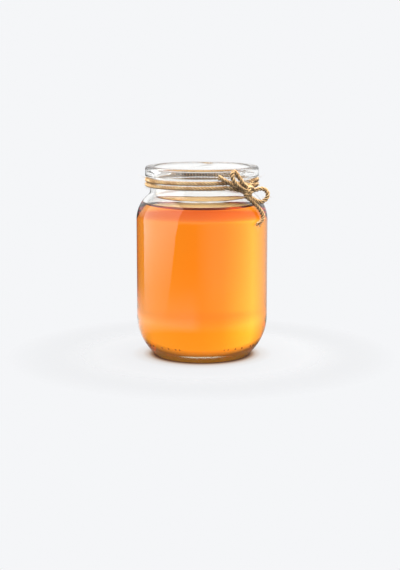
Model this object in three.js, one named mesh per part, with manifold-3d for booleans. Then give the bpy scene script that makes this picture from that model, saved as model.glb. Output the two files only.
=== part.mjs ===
// An open glass jar of honey with jute twine tied in a bow round its neck.
// Millimetres, +Z up. The origin is the centre of the base, on the surface that the jar stands on.
// The front of the jar faces -Y, and an azimuth is an angle from the front towards +X.
import * as THREE from "three";
import { mergeVertices } from "three/addons/utils/BufferGeometryUtils.js";
import Module from "manifold-3d";

const wasm = await Module();
wasm.setup();
const { degToRad, lerp, radToDeg, smoothstep } = THREE.MathUtils;

// Jar
const bodyRadius = 43;
const jarHeight = 125;
const wall = 2.7;
const neckRadius = 34;
const rimRadius = 37.1;
const rimBandBottom = 118.2;
const rimRounding = 1.8;
const bandRounding = 0.8;
const grooveFillet = 1.2;
const shoulderBottom = 90;
const shoulderRadius = 21;
const neckFillet = 3;
const heelTop = 26;
const heelRadius = 33;
const footRounding = 2;
const footRingInner = 25.5;
const baseRise = 2;
const innerFloor = 6;
const innerFloorRounding = 6;
const roundSteps = 48;

// Closure lugs on the rim and mould dots on the heel
const lugAzimuths = [-64, 56, 176];
const lugHeight = 121.6;
const lugSize = { along: 7, out: 1.6, up: 1.2 };
const lugStandsOut = 0.6;
const lugSlope = 4;
const heelDotAzimuths = [-70, -60, -55, -42, -34, -26, -22, 22, 26, 34, 42, 55, 60, 70];
const heelDotHeight = 9.5;
const heelDotRadius = 0.65;
const heelDotStandsOut = 0.35;

// Honey
const honeyLevel = 99.6;
const honeyGap = 0.3;

// Twine
const twineDiameter = 2.9;
const twineSides = 8;
const turnRadius = neckRadius + twineDiameter / 2 + 0.4;
const upperTurnHeight = 116.3;
const lowerTurnHeight = 113.2;
const stepsPerTurn = 36;
const bowStep = 2;
const knotAzimuth = 47.3;
const knotRadius = 39.2;
const knotHeight = 111.4;
const knotLead = 16;
const knotBandRadius = 2.5;
const knotBandSteps = 12;

// The bow's route past the knot, as [azimuth, distance from the axis, height].
const knotPlace = [knotAzimuth, knotRadius, knotHeight];
const bowRoutes = {
  upperTail: [
    [14.4, 39.1, 120.8],
    [18.6, 39.1, 119.4],
    [23.6, 39.1, 117.5],
    [29.4, 39, 115.3],
    [36.2, 39, 113.2],
    knotPlace,
  ],
  upperLoop: [
    knotPlace,
    [40.2, 41.2, 115.2],
    [36.3, 41.6, 118.1],
    [33.3, 41.6, 120.8],
    [31.2, 41.4, 123],
    [29, 41.2, 123.9],
    [27.4, 41.2, 122.4],
    [27.7, 41.4, 119.7],
    [30.4, 41.6, 116.8],
    [35.4, 40.8, 114],
    knotPlace,
  ],
  sideLoop: [
    knotPlace,
    [49.6, 40.5, 107.4],
    [53.2, 42.1, 105],
    [56.7, 43.7, 103.7],
    [59.3, 45.5, 104],
    [61.2, 46.9, 105.7],
    [61.9, 47.5, 108.1],
    [61, 47, 110.5],
    [58.8, 45.6, 112],
    [55.9, 43.8, 112.1],
    [52.8, 42, 111.4],
    knotPlace,
  ],
  lowerTail: [
    knotPlace,
    [44.3, 39.6, 108.2],
    [48.7, 40.4, 105.6],
    [52.9, 41.7, 103.1],
    [56.4, 43, 100.3],
    [59.3, 44.1, 97.4],
    [60.6, 44.7, 94.6],
    [59.4, 44.9, 92.3],
    [55.6, 44.9, 90.5],
    [52.1, 44.9, 89.1],
  ],
};

// The point at an azimuth, a distance from the axis and a height.
function placed([azimuth, radius, height]) {
  const angle = degToRad(azimuth);
  return new THREE.Vector3(radius * Math.sin(angle), -radius * Math.cos(angle), height);
}

// Points of a circular arc in the profile's plane, where x is the radius and y the height.
function arc(centreX, centreY, radius, fromDegrees, toDegrees, steps) {
  return Array.from({ length: steps + 1 }, (_, i) => {
    const angle = degToRad(lerp(fromDegrees, toDegrees, i / steps));
    return new THREE.Vector2(centreX + radius * Math.cos(angle), centreY + radius * Math.sin(angle));
  });
}

// The direction in degrees of the line between the centres of two circles that touch.
function touchingAngle(centreX, centreY, otherX, otherY) {
  return radToDeg(Math.atan2(otherY - centreY, otherX - centreX));
}

const heelCentre = bodyRadius - heelRadius;
const shoulderCentre = bodyRadius - shoulderRadius;
const centreDistance = shoulderRadius + neckFillet;
const filletCentre = {
  x: neckRadius + neckFillet,
  y: shoulderBottom + Math.sqrt(centreDistance ** 2 - (neckRadius + neckFillet - shoulderCentre) ** 2),
};
const shoulderEnd = touchingAngle(shoulderCentre, shoulderBottom, filletCentre.x, filletCentre.y);

// The x of the centre of a rounding that joins the heel's arc to a flat floor, on the inside of both.
function floorRoundingX(arcRadius, rounding, floor) {
  return heelCentre + Math.sqrt((arcRadius - rounding) ** 2 - (heelTop - floor - rounding) ** 2);
}

// The outside of the jar from the middle of its raised base up to the rim.
function outsideProfile() {
  const riseRadius = (footRingInner ** 2 + baseRise ** 2) / (2 * baseRise);
  const riseEnd = radToDeg(Math.acos(footRingInner / riseRadius));
  const footX = floorRoundingX(heelRadius, footRounding, 0);
  const heelStart = touchingAngle(heelCentre, heelTop, footX, footRounding);
  const grooveX = neckRadius + grooveFillet;
  const bandX = rimRadius - bandRounding;
  return [
    ...arc(0, baseRise - riseRadius, riseRadius, 90, riseEnd, 3),
    ...arc(footX, footRounding, footRounding, -90, heelStart, 3),
    ...arc(heelCentre, heelTop, heelRadius, heelStart, 0, 8).slice(1),
    ...arc(shoulderCentre, shoulderBottom, shoulderRadius, 0, shoulderEnd, 6),
    ...arc(filletCentre.x, filletCentre.y, neckFillet, 180 + shoulderEnd, 180, 3).slice(1),
    ...arc(grooveX, rimBandBottom - grooveFillet, grooveFillet, 180, 90, 2),
    ...arc(bandX, rimBandBottom + bandRounding, bandRounding, -90, 0, 2),
    ...arc(rimRadius - rimRounding, jarHeight - rimRounding, rimRounding, 0, 90, 3),
  ];
}

// The inside of the jar from the bottom up to an angle of the shoulder's arc, moved in by a gap.
function insideProfile(gap, shoulderStop) {
  const heel = heelRadius - wall - gap;
  const shoulder = shoulderRadius - wall - gap;
  const floor = innerFloor + gap;
  const rounding = innerFloorRounding - gap;
  const floorX = floorRoundingX(heel, rounding, floor);
  const heelStart = touchingAngle(heelCentre, heelTop, floorX, floor + rounding);
  return [
    new THREE.Vector2(0, floor),
    ...arc(floorX, floor + rounding, rounding, -90, heelStart, 3),
    ...arc(heelCentre, heelTop, heel, heelStart, 0, 7).slice(1),
    ...arc(shoulderCentre, shoulderBottom, shoulder, 0, shoulderStop, 5),
  ];
}

// The mouth from the shoulder's inside up to the rim's flat top.
function mouthProfile() {
  const bore = neckRadius - wall;
  return [
    ...arc(filletCentre.x, filletCentre.y, neckFillet + wall, 180 + shoulderEnd, 180, 3).slice(1),
    ...arc(bore + rimRounding, jarHeight - rimRounding, rimRounding, 180, 90, 3),
  ];
}

// A closed profile turned about +Z.
function turned(profile) {
  return new THREE.LatheGeometry(profile, roundSteps).rotateX(Math.PI / 2);
}

// A closed geometry as a solid that can be joined to another.
function solidOf(geometry) {
  const bare = geometry.index ? geometry.toNonIndexed() : geometry.clone();
  bare.deleteAttribute("normal");
  bare.deleteAttribute("uv");
  const merged = mergeVertices(bare, 1e-4);
  const corners = merged.index.array;
  const kept = [];
  for (let i = 0; i < corners.length; i += 3) {
    const [a, b, c] = corners.slice(i, i + 3);
    if (a !== b && b !== c && c !== a) kept.push(a, b, c);
  }
  return new wasm.Manifold(
    new wasm.Mesh({
      numProp: 3,
      vertProperties: new Float32Array(merged.attributes.position.array),
      triVerts: new Uint32Array(kept),
    }),
  );
}

// Closed geometries joined into one.
function joined(geometries) {
  const mesh = geometries.map(solidOf).reduce((all, next) => all.add(next)).getMesh();
  return new THREE.BufferGeometry()
    .setAttribute("position", new THREE.BufferAttribute(new Float32Array(mesh.vertProperties), 3))
    .setIndex(new THREE.BufferAttribute(new Uint32Array(mesh.triVerts), 1));
}

// The glass, open at the mouth.
function glassBody() {
  const inside = [...insideProfile(0, shoulderEnd), ...mouthProfile()].reverse();
  return turned([...outsideProfile(), ...inside]);
}

// An almond-shaped lug that a twist-off lid would grip, sunk into the rim band.
function lug(azimuth) {
  return new THREE.SphereGeometry(1, 12, 8)
    .scale(lugSize.along, lugSize.out, lugSize.up)
    .rotateY(degToRad(lugSlope))
    .translate(0, -(rimRadius + lugStandsOut - lugSize.out), lugHeight)
    .rotateZ(degToRad(azimuth));
}

// A small round dot on the heel.
function heelDot(azimuth) {
  const drop = heelTop - heelDotHeight;
  const heelAt = heelCentre + Math.sqrt(heelRadius ** 2 - drop ** 2);
  const centre = placed([azimuth, heelAt + heelDotStandsOut - heelDotRadius, heelDotHeight]);
  return new THREE.SphereGeometry(heelDotRadius, 8, 6).translate(...centre);
}

// The glass with its lugs and dots.
function jarGeometry() {
  return joined([glassBody(), ...lugAzimuths.map(lug), ...heelDotAzimuths.map(heelDot)]);
}

// Honey up to its level, which lies part of the way up the shoulder.
function honeyGeometry() {
  const shoulder = shoulderRadius - wall - honeyGap;
  const shoulderStop = radToDeg(Math.asin((honeyLevel - shoulderBottom) / shoulder));
  return turned([...insideProfile(honeyGap, shoulderStop), new THREE.Vector2(0, honeyLevel)]);
}

// One turn of twine round the neck. It leaves the knot at one end, and the crossing between
// the two turns is behind the knot.
class NeckTurn extends THREE.Curve {
  constructor(first) {
    super();
    this.first = first;
  }

  getPoint(t, target = new THREE.Vector3()) {
    const fromKnot = (this.first ? t : 1 - t) * 360;
    const toCrossing = 360 - fromKnot;
    const atKnot = 1 - smoothstep(fromKnot, 0, knotLead);
    const crossing = (1 - smoothstep(toCrossing, 0, knotLead)) / 2;
    const own = this.first ? upperTurnHeight : lowerTurnHeight;
    const other = this.first ? lowerTurnHeight : upperTurnHeight;
    const azimuth = knotAzimuth + t * 360;
    const radius = lerp(turnRadius, knotRadius, atKnot);
    const height = lerp(lerp(own, other, crossing), knotHeight, atKnot);
    return target.copy(placed([azimuth, radius, height]));
  }
}

// The strand that binds the bow, a ring round its crossing strands, and the pressed strands in it.
function knotGeometries() {
  const centre = placed(knotPlace);
  const out = new THREE.Vector3(centre.x, centre.y, 0).normalize();
  const up = new THREE.Vector3(0, 0, 1);
  const bundle = up.clone().cross(out).sub(up).normalize();
  const turn = new THREE.Quaternion().setFromUnitVectors(up, bundle);
  return [
    new THREE.TorusGeometry(knotBandRadius, twineDiameter / 2, twineSides, knotBandSteps)
      .applyQuaternion(turn)
      .translate(...centre),
    new THREE.SphereGeometry(knotBandRadius, 10, 8).translate(...centre),
  ];
}

// A plain length of twine along a curve.
function twineAlong(curve, steps) {
  const section = new THREE.Shape(
    Array.from({ length: twineSides }, (_, i) => {
      const angle = (i / twineSides) * 2 * Math.PI;
      return new THREE.Vector2(Math.cos(angle), Math.sin(angle)).multiplyScalar(twineDiameter / 2);
    }),
  );
  return new THREE.ExtrudeGeometry(section, { steps, extrudePath: curve });
}

// Both turns, the bow's loops and tails, and the knot.
function twineGeometry() {
  const turns = [true, false].map((first) => twineAlong(new NeckTurn(first), stepsPerTurn));
  const bow = Object.values(bowRoutes).map((route) => {
    const curve = new THREE.CatmullRomCurve3(route.map(placed));
    return twineAlong(curve, Math.round(curve.getLength() / bowStep));
  });
  return joined([...turns, ...bow, ...knotGeometries()]);
}

// A named sub-part with its finish.
function piece(name, geometry, material) {
  const mesh = new THREE.Mesh(geometry, new THREE.MeshStandardMaterial(material));
  mesh.name = name;
  return mesh;
}

const honeyJar = new THREE.Group();
const clearGlass = { color: 0xe9efee, roughness: 0.05, metalness: 0, transparent: true, opacity: 0.3 };
const amber = { color: 0xf78f24, roughness: 0.08, metalness: 0 };
const jute = { color: 0xb98f5c, roughness: 0.9, metalness: 0 };
honeyJar.add(
  piece("jar", jarGeometry(), clearGlass),
  piece("honey", honeyGeometry(), amber),
  piece("twine", twineGeometry(), jute),
);

export default honeyJar;
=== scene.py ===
"""The looks of an open glass jar of honey with jute twine tied in a bow round its neck.

Metres, +Z up, with the origin at the centre of the base. The front of the jar faces -Y, and
an azimuth is an angle from the front towards +X.
"""

from __future__ import annotations

import logging
import math
from dataclasses import dataclass, field
from enum import Enum

import bpy
import numpy as np
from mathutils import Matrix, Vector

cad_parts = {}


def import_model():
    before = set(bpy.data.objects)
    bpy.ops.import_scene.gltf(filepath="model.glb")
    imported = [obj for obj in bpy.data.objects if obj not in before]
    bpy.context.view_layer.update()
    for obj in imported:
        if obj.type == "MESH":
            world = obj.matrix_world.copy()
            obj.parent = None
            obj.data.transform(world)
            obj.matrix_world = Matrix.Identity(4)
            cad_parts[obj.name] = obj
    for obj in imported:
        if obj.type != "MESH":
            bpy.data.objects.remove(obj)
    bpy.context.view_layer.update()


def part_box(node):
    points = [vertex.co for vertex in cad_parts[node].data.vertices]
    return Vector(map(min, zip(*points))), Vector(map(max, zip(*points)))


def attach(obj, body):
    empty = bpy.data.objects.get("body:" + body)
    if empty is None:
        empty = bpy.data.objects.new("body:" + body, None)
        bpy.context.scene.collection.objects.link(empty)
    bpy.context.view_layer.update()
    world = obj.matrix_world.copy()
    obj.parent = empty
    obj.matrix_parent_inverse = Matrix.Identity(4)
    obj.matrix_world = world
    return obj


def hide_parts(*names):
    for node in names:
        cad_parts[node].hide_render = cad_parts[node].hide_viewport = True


LOG = logging.getLogger("honey_jar")
BODY = "root"
WET = "wet"
FILM = "film"
# mark of where painted shade falls in the grooves between the twine's plies
PAINTED_GROOVE_SHADE = "depth"

Array = np.ndarray
Socket = bpy.types.NodeSocket
Pair = tuple[float, float]
Colour = tuple[float, float, float]
Place = tuple[float, float, float]
Stops = tuple[tuple[float, Colour], ...]
Levels = tuple[Pair, ...]


class Node(Enum):
    """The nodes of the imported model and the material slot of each."""

    JAR = ("jar", "glass")
    HONEY = ("honey", "honey")
    TWINE = ("twine", "twine")

    @property
    def label(self) -> str:
        """The node's name."""
        return self.value[0]

    @property
    def slot(self) -> str:
        """The node's material slot in the record."""
        return self.value[1]


def arc(centre: Pair, radius: float, start: float, stop: float, steps: int) -> Array:
    """Points of a circular arc in the plane of radius and height.

    Each point is the centre plus the radius times the cosine and sine of an angle that goes
    evenly from start to stop.

    Args:
        centre: Radius and height of the arc's centre.
        radius: The arc's radius.
        start: First angle in degrees, from the outward direction towards up.
        stop: Last angle in degrees.
        steps: Number of equal steps.

    Returns:
        An array of steps + 1 rows of radius and height.
    """
    angles = np.radians(np.linspace(start, stop, steps + 1))
    return np.column_stack((centre[0] + radius * np.cos(angles), centre[1] + radius * np.sin(angles)))


def straight(start: Pair, stop: Pair, steps: int) -> Array:
    """Points inside a straight stretch of a profile, without its two ends.

    Args:
        start: Radius and height of one end.
        stop: Radius and height of the other end.
        steps: Number of equal steps between the ends.

    Returns:
        An array of steps - 1 rows of radius and height.
    """
    share = np.linspace(0.0, 1.0, steps + 1)[1:-1, None]
    return np.asarray(start) * (1.0 - share) + np.asarray(stop) * share


def touching_angle(centre: Pair, other: Pair) -> float:
    """The direction in degrees of the line between the centres of two circles that touch."""
    return math.degrees(math.atan2(other[1] - centre[1], other[0] - centre[0]))


def placed(polar: Array) -> Array:
    """Turns rows of azimuth in degrees, distance from the axis and height into X, Y and Z.

    X is the distance times the azimuth's sine, and Y is minus the distance times its cosine.

    Args:
        polar: An array whose last axis holds azimuth, distance and height.

    Returns:
        An array of the same shape with X, Y and Z.
    """
    angle = np.radians(polar[..., 0])
    distance = polar[..., 1]
    return np.stack((distance * np.sin(angle), -distance * np.cos(angle), polar[..., 2]), axis=-1)


def turned_from(azimuth: Array, centres: Array) -> Array:
    """The angle from each centre to each azimuth, from -180 to 180 degrees."""
    return (azimuth[..., None] - centres + 180.0) % 360.0 - 180.0


def smooth_step(values: Array, low: float, high: float) -> Array:
    """Zero below low, one above high, and a smooth cubic step between them."""
    share = np.clip((values - low) / (high - low), 0.0, 1.0)
    return share * share * (3.0 - 2.0 * share)


def grid_quads(rows: int, columns: int, first: int = 0, wrap: bool = True) -> Array:
    """Faces of a grid of vertices that are numbered row by row.

    Each face joins a vertex, the next in its row, and the two beside them in the next row.

    Args:
        rows: Number of rows of vertices.
        columns: Number of vertices in a row.
        first: Number of the grid's first vertex.
        wrap: Whether the last column joins the first.

    Returns:
        An array of faces with four vertex numbers each.
    """
    row, column = np.meshgrid(np.arange(rows - 1), np.arange(columns - (not wrap)), indexing="ij")
    beside = (column + 1) % columns
    corners = (row * columns + column, row * columns + beside)
    above = ((row + 1) * columns + beside, (row + 1) * columns + column)
    return first + np.stack((*corners, *above), axis=-1).reshape(-1, 4)


def new_piece(
    name: str, vertices: Array, faces: list[list[int]], finish: Finish
) -> bpy.types.Object:
    """Makes a smooth mesh object that rides on the jar's body and wears a finish.

    Args:
        name: The piece's name.
        vertices: An array of X, Y and Z rows.
        faces: Vertex numbers of each face.
        finish: The finish it wears.

    Returns:
        The new object, at the origin.
    """
    mesh = bpy.data.meshes.new(name)
    mesh.from_pydata(vertices.reshape(-1, 3), [], faces)
    mesh.polygons.foreach_set("use_smooth", np.ones(len(mesh.polygons), dtype=bool))
    mesh.materials.append(finish.material())
    mesh.validate()
    mesh.update()
    piece = bpy.data.objects.new(name, mesh)
    bpy.context.scene.collection.objects.link(piece)
    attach(piece, BODY)
    LOG.info("%s: %d faces", name, len(mesh.polygons))
    return piece


def turned_mesh(grid: Array, bottom: float, top: float) -> tuple[Array, list[list[int]]]:
    """Closes a grid of rings about the axis with a pole at each end.

    Args:
        grid: Rings of X, Y and Z, from the profile's start to its end, each in azimuth order.
        bottom: Height of the pole that closes the first ring.
        top: Height of the pole that closes the last ring.

    Returns:
        The vertices, and the faces with the two fans of triangles last.
    """
    rows, columns = grid.shape[:2]
    poles = np.array(((0.0, 0.0, bottom), (0.0, 0.0, top)))
    vertices = np.concatenate((grid.reshape(-1, 3), poles))
    first = np.arange(columns)
    after = (first + 1) % columns
    last = (rows - 1) * columns
    count = rows * columns
    lower = np.column_stack((after, first, np.full(columns, count)))
    upper = np.column_stack((last + first, last + after, np.full(columns, count + 1)))
    return vertices, grid_quads(rows, columns).tolist() + lower.tolist() + upper.tolist()


def mark_faces(piece: bpy.types.Object, mark: str, faces: Array) -> None:
    """Writes a mark on some of a piece's faces, which its finish reads.

    Args:
        piece: The jar or the honey.
        mark: The mark's name.
        faces: One truth value for each face.
    """
    attribute = piece.data.attributes.new(mark, "FLOAT", "FACE")
    attribute.data.foreach_set("value", faces.astype(np.float32))


class Tree:
    """A material's or world's node tree, with short ways to add and join nodes."""

    def __init__(self, owner: bpy.types.Material | bpy.types.World) -> None:
        """Empties the owner's node tree and keeps it."""
        owner.use_nodes = True
        self.nodes = owner.node_tree.nodes
        self.links = owner.node_tree.links
        self.nodes.clear()

    def add(self, kind: str, **settings: object) -> bpy.types.Node:
        """Adds a node.

        Args:
            kind: Blender's name of the node's type, without the word ShaderNode.
            **settings: Properties of the node.

        Returns:
            The new node.
        """
        node = self.nodes.new(f"ShaderNode{kind}")
        for name, value in settings.items():
            setattr(node, name, value)
        return node

    def join(self, source: Socket, node: bpy.types.Node, socket: str | int) -> None:
        """Links an output to a node's input."""
        self.links.new(source, node.inputs[socket])

    def principled(self, **sockets: object) -> bpy.types.Node:
        """Adds a Principled shader, with words of a socket's name joined by underscores.

        Args:
            **sockets: Values of its sockets.

        Returns:
            The new node.
        """
        node = self.add("BsdfPrincipled")
        for name, value in sockets.items():
            key = "IOR" if name == "ior" else name.replace("_", " ").title()
            node.inputs[key].default_value = value
        return node

    def ranged(self, source: Socket, old: Pair, new: Pair) -> Socket:
        """Maps a number from one range to another, and holds it there.

        Args:
            source: The number.
            old: Its lowest and highest value.
            new: The values that these become.

        Returns:
            The new number's socket.
        """
        node = self.add("MapRange")
        self.join(source, node, "Value")
        for key, value in zip(("From Min", "From Max", "To Min", "To Max"), (*old, *new)):
            node.inputs[key].default_value = value
        return node.outputs["Result"]

    def ramp(self, source: Socket, stops: Stops) -> Socket:
        """Turns a number into a colour by smooth steps between stops.

        Args:
            source: The number.
            stops: Pairs of a value of that number, in rising order, and the colour there.

        Returns:
            The colour's socket.
        """
        low, high = stops[0][0], stops[-1][0]
        node = self.add("ValToRGB")
        self.join(self.ranged(source, (low, high), (0.0, 1.0)), node, "Fac")
        elements = node.color_ramp.elements
        for value, _ in stops[1:-1]:
            elements.new((value - low) / (high - low))
        for element, (_, colour) in zip(elements, stops):
            element.color = (*colour, 1.0)
        return node.outputs["Color"]

    def levels(self, source: Socket, levels: Levels) -> Socket:
        """Turns a number into a level by straight steps between stops.

        Args:
            source: The number.
            levels: Pairs of a value of that number, in rising order, and the level there.

        Returns:
            The level's socket.
        """
        return self.ramp(source, tuple((value, (level, level, level)) for value, level in levels))

    def mixed(self, share: Socket, first: Socket, second: Socket) -> Socket:
        """Mixes two numbers.

        Args:
            share: How much of the second to take, held between 0 and 1.
            first: The number at a share of 0.
            second: The number at a share of 1.

        Returns:
            The mixed number's socket.
        """
        node = self.add("Mix")
        self.join(share, node, 0)
        self.join(first, node, 2)
        self.join(second, node, 3)
        return node.outputs[0]

    def noise(self, source: Socket, scale: float, detail: float, rough: float) -> Socket:
        """Adds a noise pattern.

        Args:
            source: The coordinates that it reads.
            scale: Its scale.
            detail: Its number of octaves.
            rough: The strength of the finer octaves.

        Returns:
            The socket of its height, from 0 to 1.
        """
        node = self.add("TexNoise")
        self.join(source, node, "Vector")
        node.inputs["Scale"].default_value = scale
        node.inputs["Detail"].default_value = detail
        node.inputs["Roughness"].default_value = rough
        return node.outputs["Fac"]

    def bump(
        self, height: Socket, strength: float, distance: float, over: Socket | None = None
    ) -> Socket:
        """Turns a height into a normal.

        Args:
            height: The height's socket.
            strength: How much of it shows.
            distance: How far a height of one stands out, in metres.
            over: The normal that it is laid over, if not the surface's own.

        Returns:
            The normal's socket.
        """
        node = self.add("Bump")
        self.join(height, node, "Height")
        node.inputs["Strength"].default_value = strength
        node.inputs["Distance"].default_value = distance
        if over is not None:
            self.join(over, node, "Normal")
        return node.outputs["Normal"]

    def axis(self, source: Socket, name: str) -> Socket:
        """One of a vector's X, Y and Z."""
        node = self.add("SeparateXYZ")
        self.join(source, node, 0)
        return node.outputs[name]

    def marked(self, mark: str) -> Socket:
        """The number that a mark on the mesh gives."""
        return self.add("Attribute", attribute_name=mark).outputs["Fac"]

    def math(self, operation: str, first: Socket, second: Socket, clamp: bool = False) -> Socket:
        """Works out a number from two others.

        Args:
            operation: Blender's name of the operation.
            first: The first number.
            second: The second number.
            clamp: Whether the result is held between 0 and 1.

        Returns:
            The result's socket.
        """
        node = self.add("Math", operation=operation, use_clamp=clamp)
        self.join(first, node, 0)
        self.join(second, node, 1)
        return node.outputs[0]

    def blend(self, share: Socket, first: bpy.types.Node, second: bpy.types.Node) -> bpy.types.Node:
        """Mixes two shaders.

        Args:
            share: How much of the second to take.
            first: The shader at a share of 0.
            second: The shader at a share of 1.

        Returns:
            The mixed shader.
        """
        node = self.add("MixShader")
        self.join(share, node, 0)
        self.join(first.outputs[0], node, 1)
        self.join(second.outputs[0], node, 2)
        return node

    def surface(self, shader: bpy.types.Node) -> bpy.types.Node:
        """Puts a shader on the surface, and gives the material's output."""
        output = self.add("OutputMaterial")
        self.join(shader.outputs[0], output, "Surface")
        return output


@dataclass(frozen=True)
class Finish:
    """A named finish. Each kind of finish makes its own nodes."""

    name: str

    def material(self) -> bpy.types.Material:
        """Makes the material.

        Returns:
            A new material with this finish's nodes.
        """
        material = bpy.data.materials.new(self.name)
        self.dress(Tree(material))
        return material

    def dress(self, tree: Tree) -> None:
        """Adds the finish's nodes to an empty tree."""
        raise NotImplementedError


@dataclass(frozen=True)
class ClearGlass(Finish):
    """Pressed jar glass: clear, smooth, a little wavy, and dull on the knurled foot ring.

    Where the glass is wet with honey it hardly bends or mirrors light, because honey bends
    light nearly as glass does.
    """

    colour: Colour = (0.985, 0.992, 0.988)
    bend: float = 1.51
    honey_bend: float = 1.49
    wave_scale: float = 38.0
    wave_height: float = 0.00006
    knurl_scale: float = 1100.0
    knurl_height: float = 0.00012
    knurl_fade: Pair = (0.00066, 0.0022)

    def dress(self, tree: Tree) -> None:
        """Adds the finish's nodes to an empty tree."""
        place = tree.add("TexCoord").outputs["Object"]
        foot = tree.ranged(tree.axis(place, "Z"), self.knurl_fade, (1.0, 0.0))
        grain = tree.math("MULTIPLY", tree.noise(place, self.knurl_scale, 1.0, 0.5), foot)
        knurl = tree.bump(grain, 1.0, self.knurl_height)
        wave = tree.bump(tree.noise(place, self.wave_scale, 1.0, 0.4), 1.0, self.wave_height, knurl)
        glass = tree.principled(
            base_color=(*self.colour, 1.0), roughness=0.0, ior=self.bend, transmission_weight=1.0
        )
        tree.join(wave, glass, "Normal")
        bends = (self.bend, self.bend / self.honey_bend)
        tree.join(tree.ranged(tree.marked(WET), (0.0, 1.0), bends), glass, "IOR")
        in_shadow = tree.add("LightPath").outputs["Is Shadow Ray"]
        tree.surface(tree.blend(in_shadow, glass, tree.add("BsdfTransparent")))


@dataclass(frozen=True)
class Amber(Finish):
    """Clear runny honey, whose colour comes from the depth that light goes through.

    Its top wears a film of fine bubbles, which is pale and matt.
    """

    bend: float = 1.49
    density: float = 60.0
    colour: Colour = (0.99, 0.70, 0.03)
    film: Colour = (0.54, 0.34, 0.12)
    film_share: float = 0.62
    ripple_scale: float = 55.0
    ripple_height: float = 0.00005

    def dress(self, tree: Tree) -> None:
        """Adds the finish's nodes to an empty tree."""
        place = tree.add("TexCoord").outputs["Object"]
        honey = tree.principled(
            base_color=(1.0, 1.0, 1.0, 1.0), roughness=0.0, ior=self.bend, transmission_weight=1.0
        )
        ripple = tree.noise(place, self.ripple_scale, 1.0, 0.4)
        tree.join(tree.bump(ripple, 1.0, self.ripple_height), honey, "Normal")
        tree.join(tree.ranged(tree.marked(WET), (0.0, 1.0), (self.bend, 1.0)), honey, "IOR")
        film = tree.add("BsdfDiffuse")
        film.inputs["Color"].default_value = (*self.film, 1.0)
        filmed = tree.ranged(tree.marked(FILM), (0.0, 1.0), (0.0, self.film_share))
        output = tree.surface(tree.blend(filmed, honey, film))
        depth = tree.add("VolumeAbsorption")
        depth.inputs["Color"].default_value = (*self.colour, 1.0)
        depth.inputs["Density"].default_value = self.density
        tree.join(depth.outputs[0], output, "Volume")


@dataclass(frozen=True)
class Jute(Finish):
    """Undyed jute: streaks of pale and dark fibre that follow each ply.

    Painted shade makes it darker on its underside and between the plies.
    """

    dark: Colour = (0.32, 0.13, 0.035)
    middle: Colour = (0.80, 0.49, 0.21)
    pale: Colour = (0.98, 0.75, 0.44)
    tones: Place = (0.28, 0.5, 0.74)
    streak_scale: float = 5.0
    streak_range: Pair = (-0.22, 0.78)
    blotch_scale: float = 160.0
    blotch_range: Pair = (0.0, 0.45)
    fibre_height: float = 0.00018
    # painted shade: how dark the twine is where its surface faces down, over the turned_down range of its
    # normal's Z
    painted_underside_shade: float = 0.27
    turned_down: Pair = (-0.55, 0.30)
    # painted shade: brightness left in the grooves between the plies
    groove: float = 0.24

    def dress(self, tree: Tree) -> None:
        """Adds the finish's nodes to an empty tree."""
        coordinates = tree.add("TexCoord")
        streak = tree.noise(coordinates.outputs["UV"], self.streak_scale, 3.0, 0.65)
        blotch = tree.noise(coordinates.outputs["Object"], self.blotch_scale, 2.0, 0.5)
        fibre_tone = tree.math(
            "ADD",
            tree.ranged(blotch, (0.0, 1.0), self.blotch_range),
            tree.ranged(streak, (0.0, 1.0), self.streak_range),
        )
        stops = tuple(zip(self.tones, (self.dark, self.middle, self.pale)))
        # painted shade: the colour is darkened where the surface faces down
        normal = tree.add("NewGeometry").outputs["Normal"]
        below = tree.ranged(tree.axis(normal, "Z"), self.turned_down, (self.painted_underside_shade, 1.0))
        # painted shade: the colour is darkened in the grooves between the plies
        sunk = tree.ranged(tree.marked(PAINTED_GROOVE_SHADE), (0.0, 1.0), (1.0, self.groove))
        shaded = tree.add("VectorMath", operation="SCALE")
        tree.join(tree.ramp(fibre_tone, stops), shaded, 0)
        tree.join(tree.math("MULTIPLY", below, sunk), shaded, "Scale")
        fibre = tree.principled(roughness=0.9, sheen_weight=0.15, sheen_roughness=0.5)
        tree.join(shaded.outputs[0], fibre, "Base Color")
        tree.join(tree.bump(streak, 0.9, self.fibre_height), fibre, "Normal")
        tree.surface(fibre)


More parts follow.
